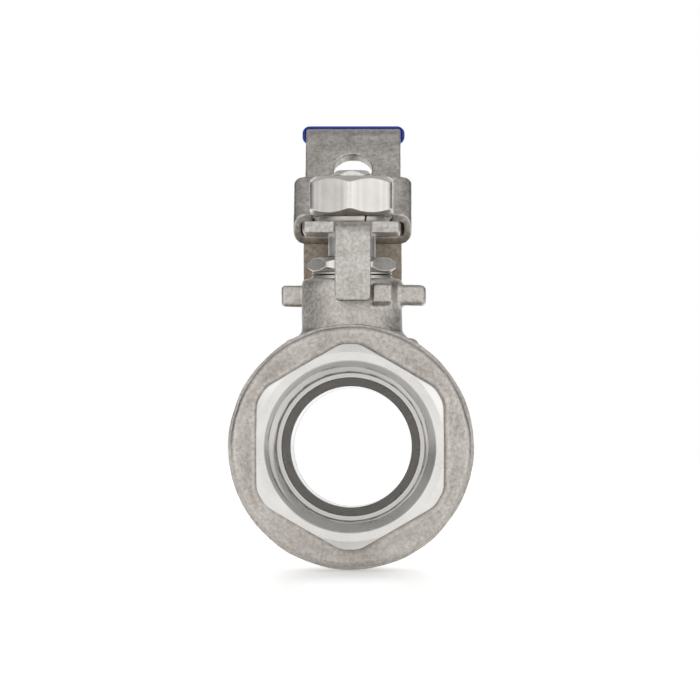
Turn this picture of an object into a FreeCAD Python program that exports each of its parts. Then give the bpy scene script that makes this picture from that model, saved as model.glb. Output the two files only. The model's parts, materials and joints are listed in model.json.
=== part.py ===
"""Two-piece, full-port ball valve with female pipe threads and a lockable lever.

Origin: centre of the ball. +Y runs along the pipe from inlet to outlet, +Z up the stem.
The valve is open: the ball's port lies along Y and the lever points along +Y.
"""
import FreeCAD, Part
import math
import os

# ---- pipe ends ---------------------------------------------------------------
HALF_LENGTH = 39.0          # ball centre to either end face
PORT_R = 12.5
HEX_AF = 38.0               # across flats of both pipe ends
HEX_CORNER_R = 20.8         # the hexagon's corners are turned off at this radius
HEX_LENGTH = 14.0
HEX_CHAMFER = 0.6
THREAD_R = 15.15            # crest radius of the G 1 thread
THREAD_DEPTH = 17.0         # end face to the shoulder behind the thread
MOUTH_R = 17.5              # countersink at the end face
RECESS_R = 14.2             # recess behind the thread
RECESS_LENGTH = 1.5
PORT_FLARE_LENGTH = 1.5

# ---- end cap and body shell --------------------------------------------------
CAP_COLLAR_R = 24.7
CAP_COLLAR_LENGTH = 6.0
BODY_COLLAR_R = 25.4
BODY_COLLAR_LENGTH = 7.0
BARREL_R = 24.6
BARREL_END = 12.0           # the barrel starts to taper here
TAPER_END = 21.0
TAPER_R = 19.6
COLLAR_ROUND = 0.9
JOINT_THREAD_R = 22.0       # thread that joins end cap and body
THREAD_GAP = 0.1
SPIGOT_END = -10.5          # inner end of the end cap's spigot
GASKET_THICKNESS = 1.0
CAVITY_R = 20.0
CAVITY_END = 10.5

# ---- ball and seats ----------------------------------------------------------
BALL_R = 19.0
BALL_GAP = 0.1              # between ball and seat
SEAT_R = 17.0
SEAT_BORE_R = 12.6
SEAT_GAP = 0.05
SEAT_BACK = 17.0            # distance of the seats' backs from the ball's centre
BALL_SLOT_WIDTH = 7.0
BALL_SLOT_FLOOR = 15.0

# ---- neck, saddle and lugs ---------------------------------------------------
NECK_R = 10.45
NECK_TOP = 35.2
NECK_ROUND = 1.0
SADDLE_HALF_X = 14.25
SADDLE_HALF_Y = 12.5
SADDLE_TOP = 22.6
SADDLE_BOTTOM = 12.0
SADDLE_CORNER = 4.0
SADDLE_ROUND = 1.6
LUG_BOTTOM = 29.5
LUG_TOP = 33.8
LUG_ROUND = 0.8
LOCK_LUG_HALF_WIDTH = 4.35  # lugs that the slide's fork straddles
LOCK_LUG_REACH_OPEN = 15.0
LOCK_LUG_REACH_CLOSED = 15.5
STOP_LUG_REACH = 14.6
STOP_LUG_WIDTH = 4.2
STOP_GAP = 0.3              # between the lever's tab and a stop lug

# ---- stem and its sealing ----------------------------------------------------
STEM_THREAD_R = 4.95
NUT_BORE_R = 5.0
STEM_R = 6.2
STEM_BORE_R = 6.25
STEM_COLLAR_R = 8.3
STEM_COLLAR_BOTTOM = 20.6
STEM_COLLAR_TOP = 22.98
COLLAR_BORE_R = 8.6
THRUST_WASHER_BOTTOM = 23.0
THRUST_WASHER_TOP = 24.2
JOURNAL_TOP = 35.0
STEM_TOP = 57.8
STEM_END_R = 3.25
TANG_HALF_LENGTH = 7.2
TANG_WIDTH = 6.9
TANG_BOTTOM = 15.1
STEM_FLATS = 7.0            # across flats inside the lever and above
O_RING_CENTRE_Z = 26.2
O_RING_PATH_R = 5.61
O_RING_SECTION_R = 0.58
GROOVE_R = 5.0
GROOVE_WIDTH = 1.6
PACKING_FLOOR = 28.0
PACKING_R = 8.8
PACKING_GAP = 0.05
PACKING_PITCH = 1.7
CHEVRON_RISE = 0.6
GLAND_RING_BOTTOM = 33.15
GLAND_RING_TOP = 35.3
DISC_SPRING_R = 8.4
DISC_SPRING_BORE_R = 5.15
DISC_SPRING_THICKNESS = 0.4
DISC_SPRING_RISE = 0.14

# ---- nuts and spring washer --------------------------------------------------
GLAND_NUT_BOTTOM = 36.4
GLAND_NUT_TOP = 39.5
GLAND_NUT_AF = 16.6
GLAND_NUT_TURN = -4.5       # degrees about the stem
LEVER_NUT_BOTTOM = 48.2
LEVER_NUT_TOP = 56.4
LEVER_NUT_AF = 17.4
LEVER_NUT_TURN = 27.6
NUT_CHAMFER_ANGLE = 30.0
NUT_FACE_SHARE = 0.96       # diameter of a nut's end faces, against its width across flats
WASHER_R = 7.15
WASHER_BORE_R = 5.15
WASHER_SPLIT = 0.4
WASHER_SPLIT_ANGLE = -66.0
WASHER_SPLIT_SLANT = -8.0

# ---- lever -------------------------------------------------------------------
LEVER_WIDTH = 20.3
LEVER_THICKNESS = 2.5
LEVER_BOTTOM = 44.3
LEVER_FRONT = -11.2
LEVER_REACH = 143.0
RISER_START = 11.5          # where the upper face would turn up with no bend radius
RISER_ANGLE = 52.0
GRIP_TOP = 68.2             # upper face where the riser would meet the grip
GRIP_RISE = 3.3             # degrees that the grip climbs towards its end
BEND_INSIDE_R = 2.0
FRONT_CORNER = 0.9
GRIP_END_ROUND = 7.1
TAB_WIDTH = 7.5
TAB_OFFSET = 0.3            # the tab stands a little to the +X side
TAB_BOTTOM = 30.1
TAB_FRONT = -14.5
TAB_ROUND = 1.2
LEVER_HOLE_GAP = 0.08
LEVER_WAIST = 16.2          # width of the lever under the slide's front plate
WAIST_START = 7.4           # y
WAIST_TOP = 48.2
PADLOCK_HOLE_R = 4.05
PADLOCK_HOLE_Z = 59.4       # height of the hole's centre on the upper face
SLEEVE_WIDTH = 22.0
SLEEVE_WALL = 0.75
SLEEVE_ROUND = 1.7
SLEEVE_START = 31.0
SLEEVE_GAP = 0.02

# ---- lock slide --------------------------------------------------------------
SLIDE_SHEET = 1.6
SLIDE_WIDTH = 25.0
SLIDE_GAP = 0.15            # to the lever's faces
SLIDE_CORNER_R = 2.4
SLIDE_TOP_Z = 57.5          # upper edge of the front plate
SLIDE_LOW_Z = 49.0          # lower edge of the front plate, beside the lever
SLIDE_NOTCH_Z = 51.9        # lower edge of the front plate, over the lever
SLIDE_NOTCH_SIDE = 0.25     # how far that edge runs past the lever's waist on each side
SLIDE_SIDE_LOW_Z = 42.8     # lowest point of the curled sides
TONGUE_WIDTH = 20.8
TONGUE_FRONT = 14.6
TONGUE_BOTTOM = 34.3
FORK_WIDTH = 9.9
FORK_TOP = 39.5

X_AXIS = FreeCAD.Vector(1, 0, 0)
Y_AXIS = FreeCAD.Vector(0, 1, 0)
Z_AXIS = FreeCAD.Vector(0, 0, 1)
ORIGIN = FreeCAD.Vector(0, 0, 0)
LEVER_TOP = LEVER_BOTTOM + LEVER_THICKNESS
SLOPE = math.radians(RISER_ANGLE)
UP_SLOPE = FreeCAD.Vector(0, math.cos(SLOPE), math.sin(SLOPE))
OFF_SLOPE = FreeCAD.Vector(0, -math.sin(SLOPE), math.cos(SLOPE))


# ---- helpers -----------------------------------------------------------------
def block(x, y, z):
    """A box between three pairs of limits."""
    size = [pair[1] - pair[0] for pair in (x, y, z)]
    return Part.makeBox(*size, FreeCAD.Vector(x[0], y[0], z[0]))


def turned_on_y(outline):
    """The solid that (radius, y) points sweep out about the pipe axis."""
    points = [FreeCAD.Vector(r, y, 0) for r, y in outline]
    face = Part.Face(Part.makePolygon(points + points[:1]))
    return face.revolve(ORIGIN, Y_AXIS, 360)


def turned_on_z(outline):
    """The solid that (radius, z) points sweep out about the stem axis."""
    points = [FreeCAD.Vector(r, 0, z) for r, z in outline]
    face = Part.Face(Part.makePolygon(points + points[:1]))
    return face.revolve(ORIGIN, Z_AXIS, 360)


def tube_on_z(outer, inner, low, high):
    """A plain ring about the stem axis."""
    return turned_on_z([(inner, low), (outer, low), (outer, high), (inner, high)])


def hexagon(across_flats, height):
    """A hexagonal prism from Z = 0 up, with two corners on the X axis."""
    corner = across_flats / math.sqrt(3)
    points = []
    for step in range(6):
        angle = math.radians(60 * step)
        points.append(FreeCAD.Vector(corner * math.cos(angle), corner * math.sin(angle), 0))
    face = Part.Face(Part.makePolygon(points + points[:1]))
    return face.extrude(FreeCAD.Vector(0, 0, height))


def round_edges(solid, radius, wanted):
    """Fillet the edges that wanted(edge) picks."""
    return solid.makeFillet(radius, [edge for edge in solid.Edges if wanted(edge)])


def runs_along(edge, axis):
    """True for a straight edge parallel to an axis."""
    ends = [vertex.Point for vertex in edge.Vertexes]
    if len(ends) < 2 or not isinstance(edge.Curve, Part.Line):
        return False
    return ends[1].sub(ends[0]).normalize().cross(axis).Length < 1e-6


def bent_sheet(points, radii, thickness, width):
    """A strip of sheet, centred on X = 0.

    points are the (y, z) corners of its upper or front face and radii the bend radius of that face
    at each inner corner. The thickness is laid on the right of the path, seen from +X with +Y to
    the right, or on the left where it is negative.
    """
    corners = [FreeCAD.Vector(0, y, z) for y, z in points]
    edges = []
    start = corners[0]
    for index, radius in enumerate(radii, start=1):
        before = corners[index - 1].sub(corners[index]).normalize()
        after = corners[index + 1].sub(corners[index]).normalize()
        half = before.getAngle(after) / 2
        first = corners[index].add(FreeCAD.Vector(before).multiply(radius / math.tan(half)))
        last = corners[index].add(FreeCAD.Vector(after).multiply(radius / math.tan(half)))
        inward = before.add(after).normalize()
        middle = corners[index].add(inward.multiply(radius / math.sin(half) - radius))
        edges.append(Part.LineSegment(start, first).toShape())
        edges.append(Part.Arc(first, middle, last).toShape())
        start = last
    edges.append(Part.LineSegment(start, corners[-1]).toShape())
    face = Part.Wire(edges).makeOffset2D(thickness, 0, True, True)
    face.translate(FreeCAD.Vector(-width / 2, 0, 0))
    return face.extrude(FreeCAD.Vector(width, 0, 0))


# ---- pipe ends ---------------------------------------------------------------
def hex_end():
    """The hexagonal pipe end on the inlet side, solid."""
    prism = hexagon(HEX_AF, HEX_LENGTH)
    prism.rotate(ORIGIN, X_AXIS, -90)
    prism.rotate(ORIGIN, Y_AXIS, 90)
    prism.translate(FreeCAD.Vector(0, -HALF_LENGTH, 0))
    back = HEX_LENGTH - HALF_LENGTH
    envelope = turned_on_y([
        (0, -HALF_LENGTH),
        (HEX_AF / 2 + HEX_CHAMFER / 2, -HALF_LENGTH),
        (HEX_CORNER_R, HEX_CHAMFER - HALF_LENGTH),
        (HEX_CORNER_R, back),
        (0, back),
    ])
    return prism.common(envelope)


def end_bore():
    """Everything that is cut from a pipe end on the inlet side, down to the seat's back."""
    shoulder = THREAD_DEPTH - HALF_LENGTH
    recess_end = shoulder + RECESS_LENGTH
    return turned_on_y([
        (0, -HALF_LENGTH),
        (MOUTH_R, -HALF_LENGTH),
        (THREAD_R, MOUTH_R - THREAD_R - HALF_LENGTH),
        (THREAD_R, shoulder),
        (RECESS_R, shoulder),
        (RECESS_R, recess_end),
        (PORT_R, recess_end + PORT_FLARE_LENGTH),
        (PORT_R, -SEAT_BACK),
        (0, -SEAT_BACK),
    ])


def outlet_side(solid):
    """The same solid, turned half round the stem to the outlet side."""
    turned = solid.copy()
    turned.rotate(ORIGIN, Z_AXIS, 180)
    return turned


def make_end_cap():
    collar_front = HEX_LENGTH - HALF_LENGTH
    collar_back = collar_front + CAP_COLLAR_LENGTH
    collar = turned_on_y([
        (0, collar_front),
        (CAP_COLLAR_R, collar_front),
        (CAP_COLLAR_R, collar_back),
        (0, collar_back),
    ])
    collar = round_edges(collar, COLLAR_ROUND, lambda edge: edge.BoundBox.XLength > 2 * CAP_COLLAR_R - 1)
    spigot_r = JOINT_THREAD_R - THREAD_GAP
    spigot = turned_on_y([
        (0, collar_back - 1),
        (spigot_r, collar_back - 1),
        (spigot_r, SPIGOT_END),
        (0, SPIGOT_END),
    ])
    pocket_r = SEAT_R + SEAT_GAP
    pocket = turned_on_y([(0, -SEAT_BACK), (pocket_r, -SEAT_BACK), (pocket_r, SPIGOT_END), (0, SPIGOT_END)])
    return hex_end().fuse([collar, spigot]).removeSplitter().cut(end_bore()).cut(pocket)


# ---- valve body --------------------------------------------------------------
def body_shell():
    """Collar, barrel and taper about the pipe axis, solid."""
    front = HEX_LENGTH + CAP_COLLAR_LENGTH - HALF_LENGTH
    collar = turned_on_y([
        (0, front),
        (BODY_COLLAR_R, front),
        (BODY_COLLAR_R, front + BODY_COLLAR_LENGTH),
        (0, front + BODY_COLLAR_LENGTH),
    ])
    collar = round_edges(collar, COLLAR_ROUND, lambda edge: edge.BoundBox.XLength > 2 * BODY_COLLAR_R - 1)
    barrel = turned_on_y([
        (0, front + 1),
        (BARREL_R, front + 1),
        (BARREL_R, BARREL_END),
        (TAPER_R, TAPER_END),
        (TAPER_R, HALF_LENGTH - HEX_LENGTH + 1),
        (0, HALF_LENGTH - HEX_LENGTH + 1),
    ])
    return collar.fuse(barrel)


def body_cavity():
    """Threaded opening, gasket step, ball cavity and outlet seat pocket."""
    front = HEX_LENGTH + CAP_COLLAR_LENGTH - HALF_LENGTH
    step = SPIGOT_END + GASKET_THICKNESS
    pocket_r = SEAT_R + SEAT_GAP
    return turned_on_y([
        (0, front),
        (JOINT_THREAD_R, front),
        (JOINT_THREAD_R, step),
        (CAVITY_R, step),
        (CAVITY_R, CAVITY_END),
        (pocket_r, CAVITY_END),
        (pocket_r, SEAT_BACK),
        (0, SEAT_BACK),
    ])


def neck():
    """The neck and the saddle at its foot, solid."""
    column = Part.makeCylinder(NECK_R, NECK_TOP - SADDLE_BOTTOM, FreeCAD.Vector(0, 0, SADDLE_BOTTOM))
    column = round_edges(column, NECK_ROUND, lambda edge: edge.BoundBox.ZMin > NECK_TOP - 0.1)
    saddle = block(
        (-SADDLE_HALF_X, SADDLE_HALF_X), (-SADDLE_HALF_Y, SADDLE_HALF_Y), (SADDLE_BOTTOM, SADDLE_TOP))
    saddle = round_edges(saddle, SADDLE_CORNER, lambda edge: runs_along(edge, Z_AXIS))
    saddle = round_edges(saddle, SADDLE_ROUND, lambda edge: edge.BoundBox.ZMin > SADDLE_TOP - 0.1)
    return column.fuse(saddle)


def lug(x, y):
    """One lug on the neck, between two pairs of limits, with its long edges rounded."""
    bar = block(x, y, (LUG_BOTTOM, LUG_TOP))
    return round_edges(bar, LUG_ROUND, lambda edge: True)


def lugs():
    """Two lock lugs, for the open and the closed lever, and two stop lugs."""
    root = NECK_R - 2.5
    open_edge = TAB_OFFSET + TAB_WIDTH / 2 + STOP_GAP
    closed_edge = TAB_WIDTH / 2 - TAB_OFFSET + STOP_GAP
    lock_open = lug((-LOCK_LUG_HALF_WIDTH, LOCK_LUG_HALF_WIDTH), (root, LOCK_LUG_REACH_OPEN))
    lock_closed = lug((root, LOCK_LUG_REACH_CLOSED), (-LOCK_LUG_HALF_WIDTH, LOCK_LUG_HALF_WIDTH))
    stop_open = lug((open_edge, open_edge + STOP_LUG_WIDTH), (-STOP_LUG_REACH, -root + 2))
    stop_closed = lug((-STOP_LUG_REACH, -root + 2), (closed_edge, closed_edge + STOP_LUG_WIDTH))
    return [lock_open, lock_closed, stop_open, stop_closed]


def stem_bore():
    """Counterbore for the stem's collar, the journal's bore and the packing chamber."""
    return turned_on_z([
        (0, BALL_SLOT_FLOOR),
        (COLLAR_BORE_R, BALL_SLOT_FLOOR),
        (COLLAR_BORE_R, THRUST_WASHER_TOP),
        (STEM_BORE_R, THRUST_WASHER_TOP),
        (STEM_BORE_R, PACKING_FLOOR),
        (PACKING_R, PACKING_FLOOR),
        (PACKING_R, NECK_TOP),
        (0, NECK_TOP),
    ])


def make_valve_body():
    outside = body_shell().fuse([outlet_side(hex_end()), neck()] + lugs()).removeSplitter()
    return outside.cut(body_cavity()).cut(outlet_side(end_bore())).cut(stem_bore())


# ---- ball, seats and gasket --------------------------------------------------
def make_ball():
    ball = Part.makeSphere(BALL_R)
    port = Part.makeCylinder(PORT_R, 2 * BALL_R, FreeCAD.Vector(0, -BALL_R, 0), Y_AXIS)
    half = BALL_SLOT_WIDTH / 2
    slot = block((-BALL_R, BALL_R), (-half, half), (BALL_SLOT_FLOOR, BALL_R))
    return ball.cut(port).cut(slot)


def make_seat_ring():
    """The inlet seat: a PTFE ring with a face that follows the ball."""
    ring = turned_on_y([
        (SEAT_BORE_R, -SEAT_BACK),
        (SEAT_R, -SEAT_BACK),
        (SEAT_R, SPIGOT_END),
        (SEAT_BORE_R, SPIGOT_END),
    ])
    return ring.cut(Part.makeSphere(BALL_R + BALL_GAP))


def make_body_gasket():
    outer = JOINT_THREAD_R - THREAD_GAP
    inner = CAVITY_R + THREAD_GAP
    back = SPIGOT_END + GASKET_THICKNESS
    return turned_on_y([(inner, SPIGOT_END), (outer, SPIGOT_END), (outer, back), (inner, back)])


# ---- stem and its sealing ----------------------------------------------------
def make_stem():
    groove_low = O_RING_CENTRE_Z - GROOVE_WIDTH / 2
    groove_high = O_RING_CENTRE_Z + GROOVE_WIDTH / 2
    shaft = turned_on_z([
        (0, STEM_COLLAR_BOTTOM),
        (STEM_COLLAR_R, STEM_COLLAR_BOTTOM),
        (STEM_COLLAR_R, STEM_COLLAR_TOP),
        (STEM_R, STEM_COLLAR_TOP),
        (STEM_R, groove_low),
        (GROOVE_R, groove_low),
        (GROOVE_R, groove_high),
        (STEM_R, groove_high),
        (STEM_R, JOURNAL_TOP),
        (STEM_THREAD_R, JOURNAL_TOP),
        (STEM_THREAD_R, STEM_TOP - STEM_THREAD_R + STEM_END_R),
        (STEM_END_R, STEM_TOP),
        (0, STEM_TOP),
    ])
    half = TANG_WIDTH / 2
    tang = block((-TANG_HALF_LENGTH, TANG_HALF_LENGTH), (-half, half), (TANG_BOTTOM, STEM_COLLAR_BOTTOM))
    stem = shaft.fuse(tang)
    for side in (-1, 1):
        limits = sorted((side * STEM_FLATS / 2, side * STEM_R))
        stem = stem.cut(block((-STEM_R, STEM_R), limits, (LEVER_BOTTOM, STEM_TOP)))
    return stem


def make_stem_o_ring():
    return Part.makeTorus(O_RING_PATH_R, O_RING_SECTION_R, FreeCAD.Vector(0, 0, O_RING_CENTRE_Z))


def make_packing_ring(level):
    """One V ring: level 0 has a flat foot, level 2 a flat top, level 1 neither."""
    inner = STEM_BORE_R + PACKING_GAP / 2
    outer = PACKING_R - PACKING_GAP
    middle = (inner + outer) / 2
    low = PACKING_FLOOR + level * PACKING_PITCH
    high = low + PACKING_PITCH - PACKING_GAP
    foot_rise = CHEVRON_RISE if level else 0
    top_rise = CHEVRON_RISE if level < 2 else 0
    outline = [(inner, low), (middle, low + foot_rise), (outer, low)]
    outline += [(outer, high), (middle, high + top_rise), (inner, high)]
    if not foot_rise:
        del outline[1]
    if not top_rise:
        del outline[-2]
    return turned_on_z(outline)


def make_disc_spring(low, outer_edge_down):
    """A coned disc spring, from the height of its lowest edge."""
    rise_in = DISC_SPRING_RISE if outer_edge_down else 0
    rise_out = DISC_SPRING_RISE - rise_in
    return turned_on_z([
        (DISC_SPRING_BORE_R, low + rise_in),
        (DISC_SPRING_R, low + rise_out),
        (DISC_SPRING_R, low + rise_out + DISC_SPRING_THICKNESS),
        (DISC_SPRING_BORE_R, low + rise_in + DISC_SPRING_THICKNESS),
    ])


# ---- nuts and washer ---------------------------------------------------------
def make_nut(across_flats, low, high, turn):
    """A hexagon nut with both faces chamfered, turned by some degrees about the stem."""
    nut = hexagon(across_flats, high - low)
    nut.rotate(ORIGIN, Z_AXIS, turn)
    nut.translate(FreeCAD.Vector(0, 0, low))
    corner = across_flats / math.sqrt(3)
    flat = NUT_FACE_SHARE * across_flats / 2
    drop = (corner - flat) * math.tan(math.radians(NUT_CHAMFER_ANGLE))
    envelope = turned_on_z([
        (NUT_BORE_R, low),
        (flat, low),
        (corner, low + drop),
        (corner, high - drop),
        (flat, high),
        (NUT_BORE_R, high),
    ])
    return nut.common(envelope)


def make_spring_washer():
    """A split ring; the split is a slanted cut."""
    ring = tube_on_z(WASHER_R, WASHER_BORE_R, LEVER_TOP, LEVER_NUT_BOTTOM)
    height = LEVER_NUT_BOTTOM - LEVER_TOP
    cut = block((0, 2 * WASHER_R), (-WASHER_SPLIT / 2, WASHER_SPLIT / 2), (-height, height))
    cut.rotate(ORIGIN, X_AXIS, WASHER_SPLIT_SLANT)
    cut.rotate(ORIGIN, Z_AXIS, WASHER_SPLIT_ANGLE)
    cut.translate(FreeCAD.Vector(0, 0, LEVER_TOP + height / 2))
    return ring.cut(cut)


# ---- lever and sleeve --------------------------------------------------------
def riser_y(z):
    """Where the riser's upper face passes a height."""
    return RISER_START + (z - LEVER_TOP) / math.tan(SLOPE)


def grip_top_z(y):
    """Height of the grip's upper face."""
    return GRIP_TOP + (y - riser_y(GRIP_TOP)) * math.tan(math.radians(GRIP_RISE))


def along_grip(solid):
    """Tilt a solid that was made level with the grip's start to the grip's slope."""
    tilted = solid.copy()
    tilted.rotate(FreeCAD.Vector(0, riser_y(GRIP_TOP), GRIP_TOP), X_AXIS, GRIP_RISE)
    return tilted


def lever_strip():
    """The lever's flat, riser and grip as one bent strip."""
    return bent_sheet(
        [
            (LEVER_FRONT, LEVER_TOP),
            (RISER_START, LEVER_TOP),
            (riser_y(GRIP_TOP), GRIP_TOP),
            (LEVER_REACH, grip_top_z(LEVER_REACH)),
        ],
        [BEND_INSIDE_R, BEND_INSIDE_R + LEVER_THICKNESS],
        LEVER_THICKNESS,
        LEVER_WIDTH,
    )


def lever_tab():
    """The stop tab, bent down from the lever's front edge."""
    bend = BEND_INSIDE_R / 2
    tab = bent_sheet(
        [(LEVER_FRONT + 1, LEVER_TOP), (TAB_FRONT, LEVER_TOP), (TAB_FRONT, TAB_BOTTOM)],
        [bend + LEVER_THICKNESS],
        -LEVER_THICKNESS,
        TAB_WIDTH,
    )
    tab.translate(FreeCAD.Vector(TAB_OFFSET, 0, 0))
    return round_edges(
        tab, TAB_ROUND, lambda edge: runs_along(edge, Y_AXIS) and edge.BoundBox.ZMax < TAB_BOTTOM + 0.1)


def stem_hole():
    """The lever's double-D hole."""
    low = LEVER_BOTTOM - 1
    hole = Part.makeCylinder(STEM_THREAD_R + LEVER_HOLE_GAP, LEVER_THICKNESS + 2, FreeCAD.Vector(0, 0, low))
    half = STEM_FLATS / 2 + LEVER_HOLE_GAP
    return hole.common(block((-STEM_R, STEM_R), (-half, half), (low, LEVER_TOP + 1)))


def padlock_hole():
    centre = FreeCAD.Vector(0, riser_y(PADLOCK_HOLE_Z), PADLOCK_HOLE_Z)
    start = centre.add(FreeCAD.Vector(OFF_SLOPE).multiply(LEVER_THICKNESS))
    return Part.makeCylinder(PADLOCK_HOLE_R, 3 * LEVER_THICKNESS, start, FreeCAD.Vector(OFF_SLOPE).negative())


def waist_cut(side):
    """What is cut from one side of the lever, so that the slide's front plate can come down."""
    limits = sorted((side * LEVER_WAIST / 2, side * LEVER_WIDTH))
    end = riser_y(WAIST_TOP) + LEVER_THICKNESS / math.sin(SLOPE)
    return block(limits, (WAIST_START, end), (LEVER_BOTTOM - 1, WAIST_TOP))


def grip_plan(half_width, end, corner, low, high):
    """A level bar along the grip, with a rounded end."""
    bar = block((-half_width, half_width), (SLEEVE_START, end), (low, high))
    return round_edges(bar, corner, lambda edge: runs_along(edge, Z_AXIS) and edge.BoundBox.YMin > end - 0.1)


def make_lever():
    strip = lever_strip()
    strip = round_edges(
        strip, FRONT_CORNER, lambda edge: runs_along(edge, Z_AXIS) and edge.BoundBox.YMax < LEVER_FRONT + 0.1)
    strip = round_edges(
        strip,
        GRIP_END_ROUND,
        lambda edge: edge.BoundBox.YMin > LEVER_REACH - 0.5 and edge.BoundBox.XLength < 0.1,
    )
    strip = strip.cut(waist_cut(-1)).cut(waist_cut(1))
    return strip.fuse(lever_tab()).removeSplitter().cut(stem_hole()).cut(padlock_hole())


def make_lever_sleeve():
    """A hollow sleeve pushed over the grip."""
    low = GRIP_TOP - LEVER_THICKNESS - SLEEVE_WALL
    high = GRIP_TOP + SLEEVE_WALL
    grip_end = riser_y(GRIP_TOP) + (LEVER_REACH - riser_y(GRIP_TOP)) / math.cos(math.radians(GRIP_RISE))
    outside = grip_plan(SLEEVE_WIDTH / 2, grip_end + 2 * SLEEVE_WALL, GRIP_END_ROUND + SLEEVE_WALL, low, high)
    outside = round_edges(outside, SLEEVE_ROUND, lambda edge: runs_along(edge, Y_AXIS))
    inside = grip_plan(
        LEVER_WIDTH / 2 + SLEEVE_GAP,
        grip_end + SLEEVE_WALL / 2,
        GRIP_END_ROUND,
        GRIP_TOP - LEVER_THICKNESS - SLEEVE_GAP,
        GRIP_TOP + SLEEVE_GAP,
    )
    return along_grip(outside.cut(inside))


# ---- lock slide --------------------------------------------------------------
def along_slope(face_z, depth):
    """Distance up the riser from the height LEVER_TOP to a point at height face_z, depth below its face."""
    return (face_z + depth * math.cos(SLOPE) - LEVER_TOP) / math.sin(SLOPE)


def placed_on_riser(solid):
    """Move a solid from slope coordinates (x, depth, distance up the riser) into place."""
    placed = solid.copy()
    placed.rotate(ORIGIN, X_AXIS, RISER_ANGLE - 90)
    placed.translate(FreeCAD.Vector(0, RISER_START, LEVER_TOP))
    return placed


def slide_bar(width, front, back, corner, low, high):
    """A bar along the riser with rounded long edges, in slope coordinates."""
    solid = block((-width / 2, width / 2), (front, back), (low, high))
    return round_edges(solid, corner, lambda edge: runs_along(edge, Z_AXIS))


def slide_wrap():
    """The sheet wrapped round the riser, in slope coordinates."""
    inner_front = -SLIDE_GAP
    inner_back = LEVER_THICKNESS + SLIDE_GAP
    front = inner_front - SLIDE_SHEET
    back = inner_back + SLIDE_SHEET
    low = along_slope(SLIDE_SIDE_LOW_Z, back)
    high = along_slope(SLIDE_TOP_Z, front)
    outer = slide_bar(SLIDE_WIDTH, front, back, SLIDE_CORNER_R, low, high)
    inner_width = SLIDE_WIDTH - 2 * SLIDE_SHEET
    inner = slide_bar(inner_width, inner_front, inner_back, SLIDE_CORNER_R - SLIDE_SHEET, low - 1, high + 1)
    # The front plate stops short of the lever's waist, and the sides run down to the back plate.
    notch_half = LEVER_WAIST / 2 + SLIDE_NOTCH_SIDE
    notch = block((-notch_half, notch_half), (front - 1, 0), (low - 1, along_slope(SLIDE_NOTCH_Z, front)))
    front_low = along_slope(SLIDE_LOW_Z, front)
    corners = [(front, front_low), (front, low), (back, low)]
    points = [FreeCAD.Vector(-SLIDE_WIDTH, depth, distance) for depth, distance in corners]
    slant = Part.Face(Part.makePolygon(points + points[:1])).extrude(FreeCAD.Vector(2 * SLIDE_WIDTH, 0, 0))
    return outer.cut(inner).cut(notch).cut(slant)


def slide_tongue():
    """The back plate, bent down into a vertical forked tongue."""
    depth = LEVER_THICKNESS + SLIDE_GAP
    high = along_slope(SLIDE_TOP_Z, -SLIDE_GAP - SLIDE_SHEET)
    top = FreeCAD.Vector(0, RISER_START, LEVER_TOP)
    top = top.add(FreeCAD.Vector(UP_SLOPE).multiply(high)).add(FreeCAD.Vector(OFF_SLOPE).multiply(-depth))
    bend_z = top.z - (top.y - TONGUE_FRONT) * math.tan(SLOPE)
    tongue = bent_sheet(
        [(top.y, top.z), (TONGUE_FRONT, bend_z), (TONGUE_FRONT, TONGUE_BOTTOM)],
        [BEND_INSIDE_R + SLIDE_SHEET],
        -SLIDE_SHEET,
        TONGUE_WIDTH,
    )
    tongue = round_edges(
        tongue, LUG_ROUND, lambda edge: runs_along(edge, Y_AXIS) and edge.BoundBox.ZMax < TONGUE_BOTTOM + 0.1)
    fork = block((-FORK_WIDTH / 2, FORK_WIDTH / 2), (0, LEVER_REACH), (0, FORK_TOP))
    fork = round_edges(fork, LUG_ROUND, lambda edge: runs_along(edge, Y_AXIS))
    return tongue.cut(fork)


def make_lock_slide():
    return placed_on_riser(slide_wrap()).fuse(slide_tongue()).removeSplitter()


# ---- the assembly ------------------------------------------------------------
def all_pieces():
    """Every node's name and solid."""
    inlet_seat = make_seat_ring()
    lower_spring = GLAND_RING_TOP
    upper_spring = lower_spring + DISC_SPRING_THICKNESS + DISC_SPRING_RISE
    return {
        "valve_body": make_valve_body(),
        "end_cap": make_end_cap(),
        "body_gasket": make_body_gasket(),
        "ball": make_ball(),
        "seat_ring_inlet": inlet_seat,
        "seat_ring_outlet": outlet_side(inlet_seat),
        "stem": make_stem(),
        "thrust_washer": tube_on_z(
            COLLAR_BORE_R - PACKING_GAP,
            STEM_BORE_R + PACKING_GAP / 2,
            THRUST_WASHER_BOTTOM,
            THRUST_WASHER_TOP,
        ),
        "stem_o_ring": make_stem_o_ring(),
        "packing_ring_lower": make_packing_ring(0),
        "packing_ring_middle": make_packing_ring(1),
        "packing_ring_upper": make_packing_ring(2),
        "gland_ring": tube_on_z(
            PACKING_R - PACKING_GAP, STEM_BORE_R + PACKING_GAP / 2, GLAND_RING_BOTTOM, GLAND_RING_TOP),
        "disc_spring_lower": make_disc_spring(lower_spring, True),
        "disc_spring_upper": make_disc_spring(upper_spring, False),
        "gland_nut": make_nut(GLAND_NUT_AF, GLAND_NUT_BOTTOM, GLAND_NUT_TOP, GLAND_NUT_TURN),
        "lever": make_lever(),
        "lever_sleeve": make_lever_sleeve(),
        "spring_washer": make_spring_washer(),
        "lever_nut": make_nut(LEVER_NUT_AF, LEVER_NUT_BOTTOM, LEVER_NUT_TOP, LEVER_NUT_TURN),
        "lock_slide": make_lock_slide(),
    }


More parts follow.
